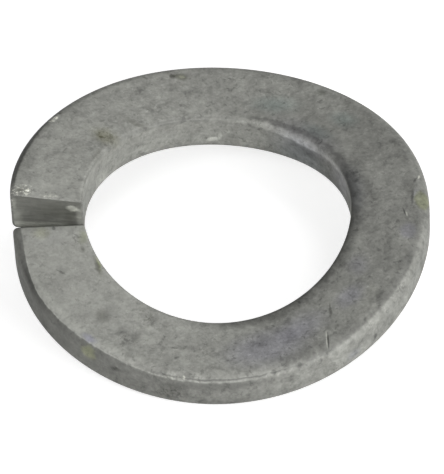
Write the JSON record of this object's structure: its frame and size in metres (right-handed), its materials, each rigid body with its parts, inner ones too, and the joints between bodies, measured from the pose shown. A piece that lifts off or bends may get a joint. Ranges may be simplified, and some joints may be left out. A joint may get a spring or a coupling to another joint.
{
  "type": "spring lock washer",
  "caption": "Split spring lock washer: one turn of flat zinc-coated steel bar with its sheared ends sprung apart in height.",
  "frame": {"origin": "on the bore's axis, level with the lowest point of the coil", "axes": "+Z along the bore's axis, upwards; the split is on the -X side and the high end is behind it, towards +Y"},
  "size_m": [0.0578, 0.0582, 0.0143],
  "materials": {
    "zinc_steel": "dull hot-dip zinc, mottled grey"
  },
  "bodies": {
    "root": {"lock_washer": "zinc_steel"}
  },
  "joints": []
}
